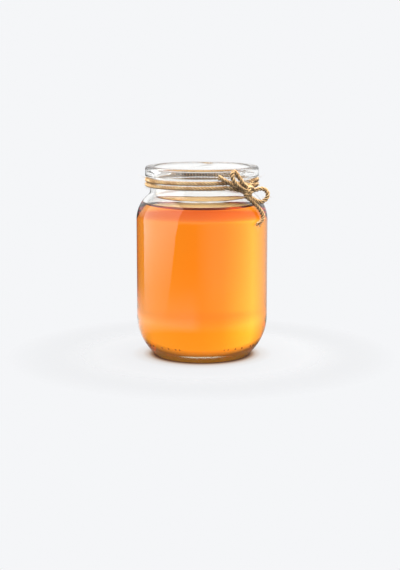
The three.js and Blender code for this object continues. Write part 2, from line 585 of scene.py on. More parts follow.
@dataclass(frozen=True)
class PaleFloor(Finish):
    """A pale floor that glows as lit paper does, with a painted amber shadow round and under the jar's
    foot.

    Its stops are distances from the jar's axis. It fades away into the background, and sooner
    where it shows in glass.
    """

    # painted shadow: dark brown under the jar, fading to the background colour a little way past its foot
    shade: Stops = (
        (0.0, (0.035, 0.010, 0.001)),
        (0.0290, (0.060, 0.018, 0.002)),
        (0.0318, (0.11, 0.04, 0.012)),
        (0.0335, (0.38, 0.23, 0.14)),
        (0.0358, (0.70, 0.59, 0.52)),
        (0.0395, (0.86, 0.83, 0.81)),
        (0.0470, (0.913, 0.921, 0.938)),
    )
    glow: float = 0.822
    matt: float = 0.07
    fade: Pair = (0.07, 0.13)
    glow_in_glass: float = 0.25
    fade_in_glass: Pair = (0.036, 0.044)

    def dress(self, tree: Tree) -> None:
        """Adds the finish's nodes to an empty tree."""
        offset = tree.add("VectorMath", operation="LENGTH")
        tree.join(tree.add("TexCoord").outputs["Object"], offset, 0)
        distance = offset.outputs["Value"]
        glow = tree.add("Emission")
        # the painted shadow colours the floor's glow by distance from the axis
        tree.join(tree.ramp(distance, self.shade), glow, "Color")
        direct = tree.add("LightPath").outputs["Is Camera Ray"]
        tree.join(tree.ranged(direct, (0.0, 1.0), (self.glow_in_glass, self.glow)), glow, "Strength")
        matt = tree.add("BsdfDiffuse")
        matt.inputs["Color"].default_value = (self.matt, self.matt, self.matt, 1.0)
        both = tree.add("AddShader")
        tree.join(glow.outputs[0], both, 0)
        tree.join(matt.outputs[0], both, 1)
        in_glass = tree.ranged(distance, self.fade_in_glass, (0.0, 1.0))
        faded = tree.mixed(direct, in_glass, tree.ranged(distance, self.fade, (0.0, 1.0)))
        tree.surface(tree.blend(faded, both, tree.add("BsdfTransparent")))


@dataclass(frozen=True)
class Lamp(Finish):
    """The lit face of a soft lamp, which fades out towards its foot.

    It is mirrored in the glass and lights the twine, and it doesn't show through the glass.
    """

    strength: float = 2.5
    colour: Colour = (1.0, 0.985, 0.965)
    fade: Pair = (-0.032, 0.05)

    def dress(self, tree: Tree) -> None:
        """Adds the finish's nodes to an empty tree."""
        height = tree.axis(tree.add("TexCoord").outputs["Object"], "Z")
        light = tree.add("Emission")
        light.inputs["Color"].default_value = (*self.colour, 1.0)
        light.inputs["Strength"].default_value = self.strength
        path = tree.add("LightPath")
        used = tree.math("MAXIMUM", path.outputs["Glossy Depth"], path.outputs["Is Diffuse Ray"])
        shown = tree.math("MULTIPLY", used, tree.ranged(height, self.fade, (0.0, 1.0)), clamp=True)
        tree.surface(tree.blend(shown, tree.add("BsdfTransparent"), light))


@dataclass
class JarShape:
    """The sizes of the glass, and the profiles that follow from them."""

    body_radius: float
    height: float
    wall: float = 0.0027
    neck_radius: float = 0.034
    rim_radius: float = 0.0371
    rim_band_bottom: float = 0.1182
    rim_rounding: float = 0.0018
    band_rounding: float = 0.0008
    groove_fillet: float = 0.0012
    shoulder_bottom: float = 0.090
    shoulder_radius: float = 0.021
    neck_fillet: float = 0.003
    heel_top: float = 0.026
    heel_radius: float = 0.033
    foot_rounding: float = 0.002
    foot_ring_inner: float = 0.0255
    base_rise: float = 0.002
    inner_floor: float = 0.006
    inner_floor_rounding: float = 0.006

    @property
    def heel_centre(self) -> Pair:
        """Centre of the heel's arc."""
        return self.body_radius - self.heel_radius, self.heel_top

    @property
    def shoulder_centre(self) -> Pair:
        """Centre of the shoulder's arc."""
        return self.body_radius - self.shoulder_radius, self.shoulder_bottom

    @property
    def fillet_centre(self) -> Pair:
        """Centre of the hollow rounding between the shoulder and the neck."""
        across = self.neck_radius + self.neck_fillet - self.shoulder_centre[0]
        reach = self.shoulder_radius + self.neck_fillet
        return self.neck_radius + self.neck_fillet, self.shoulder_bottom + math.sqrt(reach**2 - across**2)

    @property
    def shoulder_end(self) -> float:
        """Angle at which the shoulder's arc meets the hollow rounding."""
        return touching_angle(self.shoulder_centre, self.fillet_centre)

    def floor_rounding_centre(self, arc_radius: float, rounding: float, floor: float) -> Pair:
        """Centre of a rounding that touches the heel's arc and a flat floor from inside.

        Args:
            arc_radius: Radius of the heel's arc there.
            rounding: The rounding's radius.
            floor: The floor's height.

        Returns:
            Its radius and height.
        """
        centre_x, centre_z = self.heel_centre
        rise = centre_z - floor - rounding
        return centre_x + math.sqrt((arc_radius - rounding) ** 2 - rise**2), floor + rounding

    def outside(self, dot_height: float, dot_reach: float) -> Array:
        """The outside from the middle of the base to the rim's flat top, without its pole.

        Args:
            dot_height: Height of the ring of dots, round which the points lie close.
            dot_reach: How far from that height they lie close.

        Returns:
            Rows of radius and height.
        """
        ring = self.foot_ring_inner
        rise_radius = (ring**2 + self.base_rise**2) / (2.0 * self.base_rise)
        rise_end = math.degrees(math.acos(ring / rise_radius))
        foot = self.floor_rounding_centre(self.heel_radius, self.foot_rounding, 0.0)
        heel_start = touching_angle(self.heel_centre, foot)
        groove = (self.neck_radius + self.groove_fillet, self.rim_band_bottom - self.groove_fillet)
        band = (self.rim_radius - self.band_rounding, self.rim_band_bottom + self.band_rounding)
        rim = (self.rim_radius - self.rim_rounding, self.height - self.rim_rounding)
        below, above = (
            math.degrees(math.asin((height - self.heel_top) / self.heel_radius))
            for height in (dot_height - dot_reach, dot_height + dot_reach)
        )
        return np.concatenate(
            (
                arc((0.0, self.base_rise - rise_radius), rise_radius, 90.0, rise_end, 14)[1:],
                straight((ring, 0.0), (foot[0], 0.0), 6),
                arc(foot, self.foot_rounding, -90.0, heel_start, 8),
                arc(self.heel_centre, self.heel_radius, heel_start, below, 10)[1:],
                arc(self.heel_centre, self.heel_radius, below, above, 12)[1:],
                arc(self.heel_centre, self.heel_radius, above, 0.0, 14)[1:],
                straight((self.body_radius, self.heel_top), (self.body_radius, self.shoulder_bottom), 12),
                arc(self.shoulder_centre, self.shoulder_radius, 0.0, self.shoulder_end, 18),
                arc(self.fillet_centre, self.neck_fillet, 180.0 + self.shoulder_end, 180.0, 6)[1:],
                straight((self.neck_radius, self.fillet_centre[1]), (self.neck_radius, groove[1]), 6),
                arc(groove, self.groove_fillet, 180.0, 90.0, 5),
                arc(band, self.band_rounding, -90.0, 0.0, 5),
                straight((self.rim_radius, band[1]), (self.rim_radius, rim[1]), 16),
                arc(rim, self.rim_rounding, 0.0, 90.0, 8),
            )
        )

    def inside(self, gap: float, top: float) -> Array:
        """The inside from the middle of the floor up the wall to a height on the shoulder.

        Args:
            gap: How far it is moved in from the glass. Below zero it lies in the glass.
            top: The height at which it ends.

        Returns:
            Rows of radius and height, without the pole.
        """
        heel = self.heel_radius - self.wall - gap
        shoulder = self.shoulder_radius - self.wall - gap
        rounding = self.inner_floor_rounding - gap
        floor = self.inner_floor + gap
        corner = self.floor_rounding_centre(heel, rounding, floor)
        heel_start = touching_angle(self.heel_centre, corner)
        end = math.degrees(math.asin((top - self.shoulder_bottom) / shoulder))
        wall = self.body_radius - self.wall - gap
        return np.concatenate(
            (
                straight((0.0, floor), (corner[0], floor), 12),
                arc(corner, rounding, -90.0, heel_start, 8),
                arc(self.heel_centre, heel, heel_start, 0.0, 14)[1:],
                straight((wall, self.heel_top), (wall, self.shoulder_bottom), 12),
                arc(self.shoulder_centre, shoulder, 0.0, end, 14),
            )
        )

    def mouth(self, bottom: float) -> Array:
        """The inside from a height on the shoulder up to the rim's flat top.

        Args:
            bottom: The height at which it starts, which isn't in it.

        Returns:
            Rows of radius and height.
        """
        shoulder = self.shoulder_radius - self.wall
        start = math.degrees(math.asin((bottom - self.shoulder_bottom) / shoulder))
        bore = self.neck_radius - self.wall
        fillet = self.neck_fillet + self.wall
        lip = (bore + self.rim_rounding, self.height - self.rim_rounding)
        return np.concatenate(
            (
                arc(self.shoulder_centre, shoulder, start, self.shoulder_end, 8)[1:],
                arc(self.fillet_centre, fillet, 180.0 + self.shoulder_end, 180.0, 8)[1:],
                straight((bore, self.fillet_centre[1]), (bore, lip[1]), 8),
                arc(lip, self.rim_rounding, 180.0, 90.0, 8),
            )
        )


@dataclass
class GlassJar:
    """The glass, with closure lugs on the rim and mould dots on the heel."""

    shape: JarShape
    wet_height: float
    finish: ClearGlass = ClearGlass("clear_glass")
    columns: int = 200
    lug_azimuths: tuple[float, ...] = (-64.0, 56.0, 176.0)
    lug_height: float = 0.1216
    lug_half_length: float = 0.0066
    lug_half_height: float = 0.0011
    lug_stands_out: float = 0.0006
    lug_slope: float = 4.0
    lug_dome: float = 0.7
    dot_azimuths: tuple[float, ...] = (22.0, 26.0, 34.0, 42.0, 55.0, 60.0, 70.0)
    dot_height: float = 0.0095
    dot_radius: float = 0.00065
    dot_stands_out: float = 0.00035
    dot_columns: int = 11
    dot_margin: Pair = (1.4, 1.2)

    def azimuths(self) -> Array:
        """Azimuths of the columns: even all round, and close together at each dot."""
        even = np.linspace(-180.0, 180.0, self.columns, endpoint=False)
        reach = math.degrees(self.dot_radius / self.shape.body_radius) * self.dot_margin[0]
        close = np.add.outer(self.all_dots(), np.linspace(-reach, reach, self.dot_columns))
        return np.unique(np.concatenate((even, close.ravel())))

    def all_dots(self) -> Array:
        """Azimuths of the dots, alike on both sides of the front."""
        right = np.array(self.dot_azimuths)
        return np.concatenate((-right[::-1], right))

    def lug_relief(self, azimuth: Array, height: Array) -> Array:
        """How far the lugs stand out: a dome over an ellipse, long and sloping along the rim.

        Args:
            azimuth: Azimuths in degrees.
            height: Heights of the same shape.

        Returns:
            The relief at each point.
        """
        centres = np.array(self.lug_azimuths)
        along = np.radians(turned_from(azimuth, centres)) * self.shape.rim_radius
        up = height[..., None] - self.lug_height + along * math.tan(math.radians(self.lug_slope))
        inside = 1.0 - (along / self.lug_half_length) ** 2 - (up / self.lug_half_height) ** 2
        return self.lug_stands_out * (np.clip(inside, 0.0, 1.0) ** self.lug_dome).sum(axis=-1)

    def dot_relief(self, azimuth: Array, points: Array) -> Array:
        """How far the dots stand out: caps of spheres that are sunk into the heel.

        Args:
            azimuth: Azimuths in degrees.
            points: Radius and height of the same points.

        Returns:
            The relief at each point.
        """
        along = np.radians(turned_from(azimuth, self.all_dots())) * points[..., :1]
        centre_x, centre_z = self.shape.heel_centre
        dot_angle = math.asin((self.dot_height - centre_z) / self.shape.heel_radius)
        angle = np.arctan2(points[..., 1] - centre_z, points[..., 0] - centre_x)
        up = (angle - dot_angle)[..., None] * self.shape.heel_radius
        rise = np.sqrt(np.clip(self.dot_radius**2 - along**2 - up**2, 0.0, None))
        sunk = self.dot_radius - self.dot_stands_out
        return np.clip(rise - sunk, 0.0, None).sum(axis=-1)

    def build(self) -> bpy.types.Object:
        """Builds the jar's mesh: its profile turned about the axis, with the relief added outside.

        Returns:
            The jar.
        """
        outside = self.shape.outside(self.dot_height, self.dot_margin[1] * self.dot_radius)
        wetted = self.shape.inside(0.0, self.wet_height)
        inside = np.concatenate((wetted, self.shape.mouth(self.wet_height)))[::-1]
        profile = np.concatenate((outside, inside))
        azimuth, radius = np.meshgrid(self.azimuths(), profile[:, 0])
        height = np.broadcast_to(profile[:, 1:], azimuth.shape)
        points = np.stack((radius, height), axis=-1)
        is_outside = (np.arange(len(profile)) < len(outside))[:, None]
        band = is_outside & (height > self.shape.rim_band_bottom)
        heel = is_outside & (height < self.shape.heel_top) & (height > 0.0)
        lugs = np.where(band, self.lug_relief(azimuth, height), 0.0)
        dots = np.where(heel, self.dot_relief(azimuth, points), 0.0)
        centre_x, centre_z = self.shape.heel_centre
        outward = (points - (centre_x, centre_z)) / self.shape.heel_radius
        grid = placed(
            np.stack(
                (azimuth, radius + lugs + dots * outward[..., 0], height + dots * outward[..., 1]),
                axis=-1,
            )
        )
        vertices, faces = turned_mesh(grid, self.shape.base_rise, self.shape.inner_floor)
        jar = new_piece("glass_jar", vertices, faces, self.finish)
        columns = azimuth.shape[1]
        wet_rows = np.arange(len(profile) - 1) >= len(profile) - len(wetted)
        fans = np.repeat((False, True), columns)
        mark_faces(jar, WET, np.concatenate((np.repeat(wet_rows, columns), fans)))
        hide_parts(Node.JAR.label)
        return jar


@dataclass
class Honey:
    """Honey that reaches just into the glass, with a rim that creeps up the wall."""

    shape: JarShape
    level: float
    finish: Amber = Amber("amber_honey")
    into_wall: float = 0.0002
    creep: float = 0.0025
    creep_reach: float = 0.0012
    film_gap: float = 0.0016
    film_shift: float = 0.0014
    sharp_edge: float = 50.0
    columns: int = 200
    surface_rings: int = 40

    @property
    def wet_height(self) -> float:
        """Height to which the honey creeps up the wall."""
        return self.level + self.creep

    def surface(self, edge: float) -> Array:
        """The top from the wall inwards, which falls from the wall as an exponential.

        Args:
            edge: Radius of the surface's edge.

        Returns:
            Rows of radius and height, without the pole.
        """
        share = np.linspace(0.0, 1.0, self.surface_rings + 1)[1:-1]
        inwards = edge * share**2
        height = self.level + self.creep * np.exp(-inwards / self.creep_reach)
        return np.column_stack((edge - inwards, height))

    def build(self) -> bpy.types.Object:
        """Builds the honey: the inside of the jar up to its level, turned about the axis.

        Returns:
            The honey.
        """
        side = self.shape.inside(-self.into_wall, self.wet_height)
        profile = np.concatenate((side, self.surface(side[-1, 0])))
        even = np.linspace(-180.0, 180.0, self.columns, endpoint=False)
        azimuth, radius = np.meshgrid(even, profile[:, 0])
        height = np.broadcast_to(profile[:, 1:], azimuth.shape)
        grid = placed(np.stack((azimuth, radius, height), axis=-1))
        vertices, faces = turned_mesh(grid, side[0, 1], self.level)
        honey = new_piece("honey_fill", vertices, faces, self.finish)
        wet_rows = np.arange(len(profile) - 1) < len(side) - 1
        fans = np.repeat((True, False), self.columns)
        wet = np.concatenate((np.repeat(wet_rows, self.columns), fans))
        mark_faces(honey, WET, wet)
        from_film = np.hypot(vertices[:, 0], vertices[:, 1] - self.film_shift)
        inside_film = from_film < side[-1, 0] - self.film_gap
        mark_faces(honey, FILM, ~wet & np.array([inside_film[face].all() for face in faces]))
        honey.data.set_sharp_from_angle(angle=math.radians(self.sharp_edge))
        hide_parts(Node.HONEY.label)
        return honey


def through_points(points: Array, step: float, in_gap: int = 24) -> Array:
    """A smooth line through points: a Catmull-Rom cubic in each gap, at even distances.

    Args:
        points: Rows of X, Y and Z.
        step: The distance wanted between the line's points.
        in_gap: Number of places worked out in each gap.

    Returns:
        Rows of X, Y and Z on the line.
    """
    ends = np.concatenate((2.0 * points[:1] - points[1:2], points, 2.0 * points[-1:] - points[-2:-1]))
    before, start, stop, after = ends[:-3], ends[1:-2], ends[2:-1], ends[3:]
    share = np.linspace(0.0, 1.0, in_gap, endpoint=False)[None, :, None]
    line = 0.5 * (
        2.0 * start[:, None]
        + (stop - before)[:, None] * share
        + (2.0 * before - 5.0 * start + 4.0 * stop - after)[:, None] * share**2
        + (3.0 * start - before - 3.0 * stop + after)[:, None] * share**3
    )
    line = np.concatenate((line.reshape(-1, 3), points[-1:]))
    return evenly(line, step)


def evenly(line: Array, step: float) -> Array:
    """The same line with its points at even distances.

    Args:
        line: Rows of X, Y and Z.
        step: The distance wanted between them.

    Returns:
        Rows of X, Y and Z.
    """
    travelled = distances(line)
    places = np.linspace(0.0, travelled[-1], round(travelled[-1] / step) + 1)
    return np.stack([np.interp(places, travelled, line[:, axis]) for axis in range(3)], axis=-1)


def distances(line: Array) -> Array:
    """The distance along a line from its start to each of its points."""
    steps = np.linalg.norm(np.diff(line, axis=0), axis=1)
    return np.concatenate(((0.0,), np.cumsum(steps)))


def carried_frames(line: Array) -> tuple[Array, Array, Array]:
    """Directions along and across a line, carried along it with no twist of their own.

    Each step turns the last across direction as little as it can.

    Args:
        line: Rows of X, Y and Z.

    Returns:
        The directions along the line, across it, and across both.
    """
    along = np.gradient(line, axis=0)
    along /= np.linalg.norm(along, axis=1, keepdims=True)
    across = np.empty_like(line)
    last = np.cross(along[0], (0.0, 0.0, 1.0))
    for index, direction in enumerate(along):
        last = last - direction * (last @ direction)
        last = last / np.linalg.norm(last)
        across[index] = last
    return along, across, np.cross(along, across)


@dataclass
class TwineRoute:
    """The twine's way from the tip of its upper tail, twice round the neck, to its lower tip.

    A place is an azimuth in degrees, a distance from the axis and a height.
    """

    neck_radius: float
    diameter: float = 0.0029
    clear_of_neck: float = 0.0004
    upper_turn: float = 0.1163
    lower_turn: float = 0.1132
    turn_points: int = 72
    turn_trim: int = 4
    knot_lead: float = 16.0
    band_radius: float = 0.0025
    band_turns: float = 1.5
    band_points: int = 18
    hitch_radius: float = 0.0019
    hitch_points: int = 7
    first_hitch: Pair = (-110.0, 70.0)
    second_hitch: Pair = (50.0, 215.0)
    knot: Place = (47.3, 0.0392, 0.1114)
    upper_tail: tuple[Place, ...] = (
        (14.4, 0.0391, 0.1208),
        (18.6, 0.0391, 0.1194),
        (23.6, 0.0391, 0.1175),
        (29.4, 0.0390, 0.1153),
        (36.2, 0.0390, 0.1132),
    )
    upper_loop: tuple[Place, ...] = (
        (40.2, 0.0412, 0.1152),
        (36.3, 0.0416, 0.1181),
        (33.3, 0.0416, 0.1208),
        (31.2, 0.0414, 0.1230),
        (29.0, 0.0412, 0.1239),
        (27.4, 0.0412, 0.1224),
        (27.7, 0.0414, 0.1197),
        (30.4, 0.0416, 0.1168),
        (35.4, 0.0408, 0.1140),
    )
    side_loop: tuple[Place, ...] = (
        (49.6, 0.0405, 0.1074),
        (53.2, 0.0421, 0.1050),
        (56.7, 0.0437, 0.1037),
        (59.3, 0.0455, 0.1040),
        (61.2, 0.0469, 0.1057),
        (61.9, 0.0475, 0.1081),
        (61.0, 0.0470, 0.1105),
        (58.8, 0.0456, 0.1120),
        (55.9, 0.0438, 0.1121),
        (52.8, 0.0420, 0.1114),
    )
    lower_tail: tuple[Place, ...] = (
        (44.3, 0.0396, 0.1082),
        (48.7, 0.0404, 0.1056),
        (52.9, 0.0417, 0.1031),
        (56.4, 0.0430, 0.1003),
        (59.3, 0.0441, 0.0974),
        (60.6, 0.0447, 0.0946),
        (59.4, 0.0449, 0.0923),
        (55.6, 0.0449, 0.0905),
        (52.1, 0.0449, 0.0891),
    )
    step: float = 0.0005

    def turn(self, first: bool) -> Array:
        """One turn round the neck, which leaves the knot at one end and crosses the other turn.

        The height and the distance from the axis go from the knot's to the turn's by a smooth
        step, and to the middle of both turns' heights by another where they cross.

        Args:
            first: Whether it is the upper turn, which starts at the knot.

        Returns:
            Rows of X, Y and Z.
        """
        share = np.linspace(0.0, 1.0, self.turn_points, endpoint=not first)
        from_knot = 360.0 * (share if first else 1.0 - share)
        at_knot = 1.0 - smooth_step(from_knot, 0.0, self.knot_lead)
        crossing = (1.0 - smooth_step(360.0 - from_knot, 0.0, self.knot_lead)) / 2.0
        own, other = (self.upper_turn, self.lower_turn) if first else (self.lower_turn, self.upper_turn)
        held = own + (other - own) * crossing
        radius = self.neck_radius + self.diameter / 2.0 + self.clear_of_neck
        azimuth, knot_radius, knot_height = self.knot
        polar = (
            azimuth + 360.0 * share,
            radius + (knot_radius - radius) * at_knot,
            held + (knot_height - held) * at_knot,
        )
        return placed(np.stack(polar, axis=-1))

    def knot_axes(self) -> tuple[Array, Array, Array, Array]:
        """The knot's centre, and the directions out of the jar, to the right and up there."""
        centre = placed(np.array(self.knot))
        out = centre * (1.0, 1.0, 0.0)
        out = out / np.linalg.norm(out)
        up = np.array((0.0, 0.0, 1.0))
        return centre, out, np.cross(up, out), up

    def band(self) -> Array:
        """The strand that binds the bow: a short helix round its crossing strands.

        Returns:
            Rows of X, Y and Z.
        """
        centre, out, sideways, up = self.knot_axes()
        bundle = (sideways - up) / math.sqrt(2.0)
        across = (sideways + up) / math.sqrt(2.0)
        share = np.linspace(0.0, 1.0, self.band_points)[:, None]
        angle = 2.0 * math.pi * self.band_turns * share - math.pi / 2.0
        ring = self.band_radius * (out * np.cos(angle) + across * np.sin(angle))
        return centre + ring + bundle * self.diameter * (share - 0.5) * self.band_turns

    def hitch(self, start: float, stop: float, lift: float) -> Array:
        """A strand's way round in the knot: an arc about its centre, as seen from outside.

        Args:
            start: First angle in degrees, from the right towards up.
            stop: Last angle.
            lift: How far out of the jar the arc lies from the knot's centre.

        Returns:
            Rows of X, Y and Z.
        """
        centre, out, sideways, up = self.knot_axes()
        angle = np.radians(np.linspace(start, stop, self.hitch_points))[:, None]
        return centre + out * lift + self.hitch_radius * (sideways * np.cos(angle) + up * np.sin(angle))

    def line(self) -> Array:
        """The whole route as one line.

        Returns:
            Rows of X, Y and Z, a step apart.
        """
        knot = placed(np.array((self.knot,)))
        stretches = (
            placed(np.array(self.upper_tail)),
            self.hitch(*self.first_hitch, 0.0),
            placed(np.array(self.upper_loop)),
            knot,
            self.turn(True)[self.turn_trim :],
            self.turn(False)[: -self.turn_trim],
            self.band(),
            placed(np.array(self.side_loop)),
            self.hitch(*self.second_hitch, self.diameter),
            placed(np.array(self.lower_tail)),
        )
        return through_points(np.concatenate(stretches), self.step)


@dataclass
class Twine:
    """Jute twine of three twisted plies, with loose fibres and frayed tips."""

    route: TwineRoute
    finish: Jute = Jute("jute_twine")
    plies: int = 3
    ply_sides: int = 9
    lay: float = 0.0068
    ply_centre: float = 0.00082
    ply_radius: float = 0.00064
    # distances from the centre line over which the mark for the painted groove shade fades out
    groove: Pair = (0.52, 0.84)
    fray_reach: float = 0.004
    fray: float = 0.6
    tip_taper: float = 0.0012
    tip_thinning: float = 0.85
    unevenness: float = 0.12
    streak_lays: float = 6.0
    ply_shift: float = 3.7
    fibres: int = 1500
    fibre_steps: int = 5
    fibre_sides: int = 3
    fibre_radius: float = 0.00005
    fibre_length: Pair = (0.0012, 0.0042)
    fibre_root: float = 1.3
    fibre_taper: float = 0.8
    tuft_fibres: int = 70
    seed: int = 7
    line: Array = field(init=False)

    def __post_init__(self) -> None:
        """Works out the centre line."""
        self.line = self.route.line()

    def ends(self, travelled: Array, reach: float) -> Array:
        """How near each point is to the nearer tip: one at the tip and zero past the reach."""
        nearest = np.minimum(travelled, travelled[-1] - travelled)
        return 1.0 - smooth_step(nearest, 0.0, reach)

    def build_plies(self) -> bpy.types.Object:
        """Builds the plies: a round section carried along a helix round the centre line.

        The helix turns once in each lay. Near a tip it opens and its section thins out.

        Returns:
            The twine.
        """
        travelled = distances(self.line)
        _, across, other = carried_frames(self.line)
        rng = np.random.default_rng(self.seed)
        phase = 2.0 * math.pi * np.arange(self.plies) / self.plies
        angle = 2.0 * math.pi * travelled / self.lay + phase[:, None]
        spread = self.ply_centre * (1.0 + self.fray * self.ends(travelled, self.fray_reach))
        centre = self.line + spread[:, None] * (
            np.cos(angle)[..., None] * across + np.sin(angle)[..., None] * other
        )
        thin = 1.0 - self.tip_thinning * self.ends(travelled, self.tip_taper)
        wobble = 1.0 + self.unevenness * self.wander(rng, (self.plies, len(travelled)))
        radius = (self.ply_radius * thin * wobble)[..., None]
        around = np.linspace(0.0, 2.0 * math.pi, self.ply_sides, endpoint=False)
        ridge = 1.0 + self.unevenness * rng.uniform(-0.5, 0.5, (self.plies, len(travelled), self.ply_sides))
        reach = radius * ridge
        surface = (
            centre[:, :, None]
            + (reach * np.cos(around))[..., None] * across[None, :, None]
            + (reach * np.sin(around))[..., None] * other[None, :, None]
        )
        rows = len(travelled)
        size = rows * self.ply_sides
        faces: list[list[int]] = []
        ring = np.arange(self.ply_sides)
        caps = np.stack((ring[::-1], size - self.ply_sides + ring))
        for ply in range(self.plies):
            faces += grid_quads(rows, self.ply_sides, ply * size).tolist()
            faces += (ply * size + caps).tolist()
        twine = new_piece("jute_twine", surface, faces, self.finish)
        along = np.broadcast_to(travelled[None, :, None] / (self.streak_lays * self.lay), reach.shape)
        turn = np.broadcast_to(around / (2.0 * math.pi), reach.shape)
        shift = np.arange(self.plies)[:, None, None] * self.ply_shift
        self.write_uv(twine, np.stack((turn * 2.0 + shift, along), axis=-1))
        # mark for the painted shade between the plies: one deep in a groove, zero on the outside
        out = np.linalg.norm(surface - self.line[:, None], axis=-1) / (self.ply_centre + self.ply_radius)
        depth = twine.data.attributes.new(PAINTED_GROOVE_SHADE, "FLOAT", "POINT")
        depth.data.foreach_set("value", 1.0 - smooth_step(out, *self.groove).astype(np.float32).ravel())
        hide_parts(Node.TWINE.label)
        return twine

    @staticmethod
    def wander(rng: np.random.Generator, shape: tuple[int, int], spacing: int = 5) -> Array:
        """Smooth random unevenness along each row, from about -1 to 1.

        Args:
            rng: The source of random numbers.
            shape: Number of rows and of points in a row.
            spacing: Number of points to each random value.

        Returns:
            An array of that shape.
        """
        knots = rng.uniform(-1.0, 1.0, (shape[0], shape[1] // spacing + 2))
        places = np.linspace(0.0, knots.shape[1] - 1.0, shape[1])
        return np.stack([np.interp(places, np.arange(knots.shape[1]), row) for row in knots])

    @staticmethod
    def write_uv(piece: bpy.types.Object, values: Array) -> None:
        """Writes a UV map from one pair of values for each vertex.

        Args:
            piece: The mesh object.
            values: Pairs of U and V in the vertices' order.
        """
        mesh = piece.data
        corners = np.empty(len(mesh.loops), dtype=np.int32)
        mesh.loops.foreach_get("vertex_index", corners)
        layer = mesh.uv_layers.new(name="fibre")
        layer.data.foreach_set("uv", values.reshape(-1, 2)[corners].astype(np.float32).ravel())

    def build_fibres(self) -> bpy.types.Object:
        """Builds the loose fibres: thin bent hairs that leave the twine at random places.

        A hair goes straight out by its length times its share, and bends by the share squared.

        Returns:
            The fibres as one piece.
        """
        rng = np.random.default_rng(self.seed + 1)
        along, across, other = carried_frames(self.line)
        anywhere = rng.integers(0, len(self.line), self.fibres)
        tuft = len(self.line) - 1 - rng.integers(0, 6, self.tuft_fibres)
        start = np.concatenate((anywhere, tuft))
        count = len(start)
        angle = rng.uniform(0.0, 2.0 * math.pi, count)[:, None]
        out = np.cos(angle) * across[start] + np.sin(angle) * other[start]
        side = np.cos(angle) * other[start] - np.sin(angle) * across[start]
        forward = rng.normal(0.0, 1.2, (count, 1))
        forward[self.fibres :] = rng.uniform(1.5, 3.5, (self.tuft_fibres, 1))
        heading = out + forward * along[start] + rng.normal(0.0, 0.5, (count, 1)) * side
        heading /= np.linalg.norm(heading, axis=1, keepdims=True)
        length = rng.uniform(*self.fibre_length, (count, 1, 1))
        bend = rng.normal(0.0, 0.35, (count, 3)) - 0.25 * out
        share = np.linspace(0.0, 1.0, self.fibre_steps)[None, :, None]
        root = self.line[start] + out * self.ply_centre * self.fibre_root
        hair = root[:, None] + length * (heading[:, None] * share + bend[:, None] * share**2)
        first = np.cross(heading, bend)
        first /= np.linalg.norm(first, axis=1, keepdims=True)
        second = np.cross(heading, first)
        around = np.linspace(0.0, 2.0 * math.pi, self.fibre_sides, endpoint=False)
        section = np.cos(around)[:, None] * first[:, None] + np.sin(around)[:, None] * second[:, None]
        thickness = self.fibre_radius * (1.0 - self.fibre_taper * share)[..., None]
        surface = hair[:, :, None] + thickness * section[:, None]
        size = self.fibre_steps * self.fibre_sides
        firsts = np.arange(count)[:, None, None] * size
        quads = (firsts + grid_quads(self.fibre_steps, self.fibre_sides)).reshape(-1, 4)
        ring = np.arange(self.fibre_sides)
        caps = np.stack((ring[::-1], size - self.fibre_sides + ring))
        tips = (firsts + caps).reshape(-1, self.fibre_sides)
        faces = quads.tolist() + tips.tolist()
        fibres = new_piece("twine_fibres", surface, faces, self.finish)
        shade = np.broadcast_to(rng.uniform(0.0, 9.0, (count, 1, 1)), surface.shape[:-1])
        self.write_uv(fibres, np.stack((shade, np.broadcast_to(share, shade.shape)), axis=-1))
        return fibres

    def build(self) -> None:
        twine = self.build_plies()
        fibres = self.build_fibres()


def even(level: float) -> Levels:
    """The same level all across."""
    return ((-1.0, level), (1.0, level))


@dataclass(frozen=True)
class Surroundings:
    """How bright the studio is in each direction, for one kind of ray.

    Each zone is a Z of the direction, from low to high, and the levels there by the direction's
    X. Between two zones the level goes evenly from the one to the other.
    """

    zones: tuple[tuple[float, Levels], ...]

    def strength(self, tree: Tree, ray: bpy.types.Node) -> Socket:
        """Adds the nodes of this brightness.

        Args:
            tree: The world's tree.
            ray: The node that splits the direction into X, Y and Z.

        Returns:
            The socket of the brightness.
        """
        low, levels = self.zones[0]
        light = tree.levels(ray.outputs["X"], levels)
        for high, levels in self.zones[1:]:
            share = tree.ranged(ray.outputs["Z"], (low, high), (0.0, 1.0))
            light = tree.mixed(share, light, tree.levels(ray.outputs["X"], levels))
            low = high
        return light


